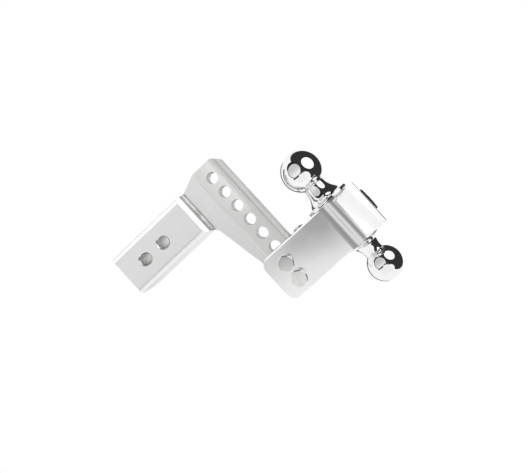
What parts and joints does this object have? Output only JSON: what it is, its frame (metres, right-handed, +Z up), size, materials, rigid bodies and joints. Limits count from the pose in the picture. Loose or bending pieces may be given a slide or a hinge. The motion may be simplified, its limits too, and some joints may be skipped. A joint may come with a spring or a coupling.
{
  "type": "adjustable trailer hitch ball mount",
  "caption": "Aluminium drop hitch with a square shank, a drilled drop bar, and a reversible clevis mount pinned to it that carries a tow ball above and a smaller one below.",
  "frame": {"origin": "centre of the receiver pin hole nearest the drop bar, on the shank centre line", "axes": "+X rearward from the shank to the balls, +Y to the lock side (vehicle right), +Z up"},
  "size_m": [0.3165, 0.1167, 0.292],
  "materials": {
    "drawbar_aluminium": "fine satin with machined bar faces",
    "mount_aluminium": "polished",
    "ball_chrome": "bright chrome plate",
    "pin_steel": "turned and satin",
    "barrel_nickel": "satin nickel plate",
    "retainer_steel": "turned, oiled",
    "black_steel": "black oxide",
    "brass": "plain turned",
    "cap_metal": "black anodised",
    "cover_plastic": "moulded",
    "rubber": "moulded"
  },
  "bodies": {
    "hitch": {"drawbar": "drawbar_aluminium", "ball_mount": "mount_aluminium", "large_ball": "ball_chrome", "small_ball": "ball_chrome", "ball_lock_screws": "black_steel", "ball_lock_pads": "brass", "rear_cap": "cap_metal", "rear_cap_seal": "rubber", "top_plug": "pin_steel"},
    "upper_pin_body": {"upper_pin": "pin_steel", "upper_pin_head_washer": "rubber"},
    "upper_lock_body": {"upper_lock_barrel": "barrel_nickel", "upper_lock_seal": "rubber", "upper_lock_end_ring": "barrel_nickel", "upper_cover_rivet": "pin_steel"},
    "upper_key_body": {"upper_retainer": "retainer_steel", "upper_key_plug": "brass"},
    "upper_cover_body": {"upper_lock_cover": "cover_plastic"},
    "lower_pin_body": {"lower_pin": "pin_steel", "lower_pin_head_washer": "rubber"},
    "lower_lock_body": {"lower_lock_barrel": "barrel_nickel", "lower_lock_seal": "rubber", "lower_lock_end_ring": "barrel_nickel", "lower_cover_rivet": "pin_steel"},
    "lower_key_body": {"lower_retainer": "retainer_steel", "lower_key_plug": "brass"},
    "lower_cover_body": {"lower_lock_cover": "cover_plastic"}
  },
  "joints": [
    {"name": "upper_pin_slide", "type": "slide", "parent": "hitch", "child": "upper_pin_body", "axis": [0, -1, 0], "range_m": [0, 0.07]},
    {"name": "upper_lock_pull", "type": "slide", "parent": "hitch", "child": "upper_lock_body", "axis": [0, 1, 0], "range_m": [0, 0.03]},
    {"name": "upper_key_turn", "type": "hinge", "parent": "upper_lock_body", "child": "upper_key_body", "pos_m": [0.107, 0.045, -0.1324], "axis": [0, 1, 0], "range_deg": [0, 90]},
    {"name": "upper_cover_swing", "type": "hinge", "parent": "upper_lock_body", "child": "upper_cover_body", "pos_m": [0.107, 0.045, -0.1249], "axis": [0, 1, 0], "range_deg": [-100, 100]},
    {"name": "lower_pin_slide", "type": "slide", "parent": "hitch", "child": "lower_pin_body", "axis": [0, -1, 0], "range_m": [0, 0.07]},
    {"name": "lower_lock_pull", "type": "slide", "parent": "hitch", "child": "lower_lock_body", "axis": [0, 1, 0], "range_m": [0, 0.03]},
    {"name": "lower_key_turn", "type": "hinge", "parent": "lower_lock_body", "child": "lower_key_body", "pos_m": [0.107, 0.045, -0.1578], "axis": [0, 1, 0], "range_deg": [0, 90]},
    {"name": "lower_cover_swing", "type": "hinge", "parent": "lower_lock_body", "child": "lower_cover_body", "pos_m": [0.107, 0.045, -0.1503], "axis": [0, 1, 0], "range_deg": [-100, 100]}
  ]
}
